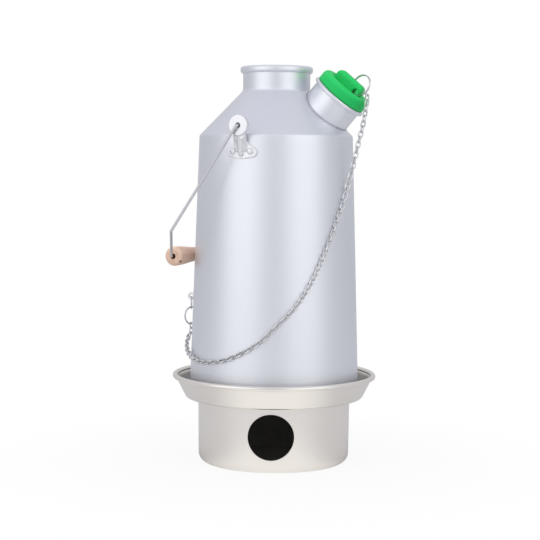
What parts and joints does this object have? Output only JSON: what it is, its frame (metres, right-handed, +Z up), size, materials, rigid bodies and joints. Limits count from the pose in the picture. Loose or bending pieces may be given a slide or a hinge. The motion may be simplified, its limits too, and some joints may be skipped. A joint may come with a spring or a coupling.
{
  "type": "storm kettle",
  "caption": "Chimney kettle on a flared fire base: tapered double wall, slanted spout with stopper, wire bail with turned grip, and a keeper chain.",
  "frame": {"origin": "middle of the fire base's underside, on the ground", "axes": "+Z up along the chimney, +Y towards the rear ear, +X towards the spout, which is turned 6 degrees from it"},
  "size_m": [0.184, 0.184, 0.3562],
  "materials": {
    "body_aluminium": "satin, spun",
    "base_aluminium": "satin, spun, warmer",
    "steel_wire": "drawn wire",
    "wood": "turned, oiled",
    "silicone": "matt silicone"
  },
  "bodies": {
    "base": {"fire_base": "base_aluminium"},
    "kettle": {"jacket": "body_aluminium", "chimney": "body_aluminium", "spout": "body_aluminium", "ear_front": "body_aluminium", "ear_rear": "body_aluminium", "ear_front_rivets": "body_aluminium", "ear_rear_rivets": "body_aluminium", "chain_hanging": "steel_wire", "chain_side": "steel_wire", "chain_front": "steel_wire", "chain_tail": "steel_wire", "end_ring": "steel_wire", "lug_ring": "steel_wire", "lug": "body_aluminium", "lug_rivets": "body_aluminium"},
    "bail": {"bail": "steel_wire"},
    "grip": {"grip": "wood"},
    "stopper": {"stopper": "silicone", "split_ring": "steel_wire"}
  },
  "joints": [
    {"name": "kettle_lift", "type": "slide", "parent": "base", "child": "kettle", "axis": [0, 0, 1], "range_m": [0, 0.1]},
    {"name": "bail_swing", "type": "hinge", "parent": "kettle", "child": "bail", "pos_m": [0, 0, 0.30225], "axis": [0, 1, 0], "range_deg": [0, 280]},
    {"name": "grip_spin", "type": "hinge", "parent": "bail", "child": "grip", "pos_m": [-0.07952, 0, 0.18581], "axis": [0, 1, 0], "continuous": true},
    {"name": "stopper_pull", "type": "slide", "parent": "kettle", "child": "stopper", "axis": [0.6459, 0.0679, 0.7604], "range_m": [0, 0.025], "deforming": ["chain_hanging", "chain_side", "chain_front", "chain_tail"]}
  ]
}
